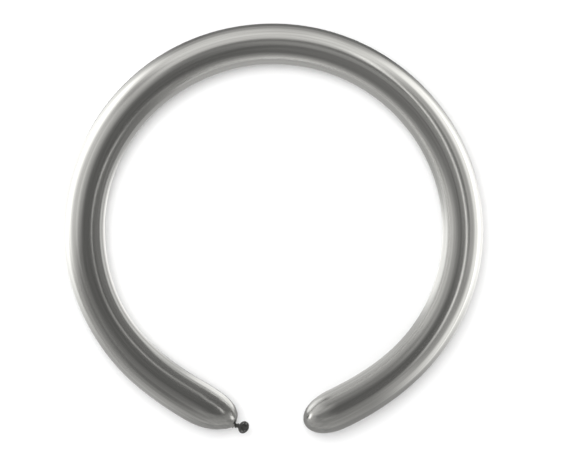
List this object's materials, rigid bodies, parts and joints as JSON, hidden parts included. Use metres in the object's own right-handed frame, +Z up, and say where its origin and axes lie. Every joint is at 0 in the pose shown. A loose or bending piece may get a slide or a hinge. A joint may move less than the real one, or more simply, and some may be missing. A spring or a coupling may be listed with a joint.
{
  "type": "modelling balloon",
  "caption": "Long thin modelling balloon in mirror-like silver latex, inflated and tied, lying flat and curled into a ring with a gap between its knotted end and its round tip.",
  "frame": {"origin": "on the surface the balloon lies on, under the middle of its outline", "axes": "+Z up, out of the ring's plane; +Y from the gap between the balloon's ends towards the far side of the ring; +X from the knotted end towards the tip"},
  "size_m": [0.5182, 0.5054, 0.0519],
  "materials": {
    "mirror_latex": "stretched silver metallic latex, soft mirror gloss with faint streaks along the balloon",
    "dark_latex": "unstretched silver metallic latex, dark graphite with a satin sheen"
  },
  "bodies": {
    "root": {"envelope": "mirror_latex", "knot": "dark_latex", "neck": "dark_latex", "rolled_lip": "dark_latex"}
  },
  "joints": []
}
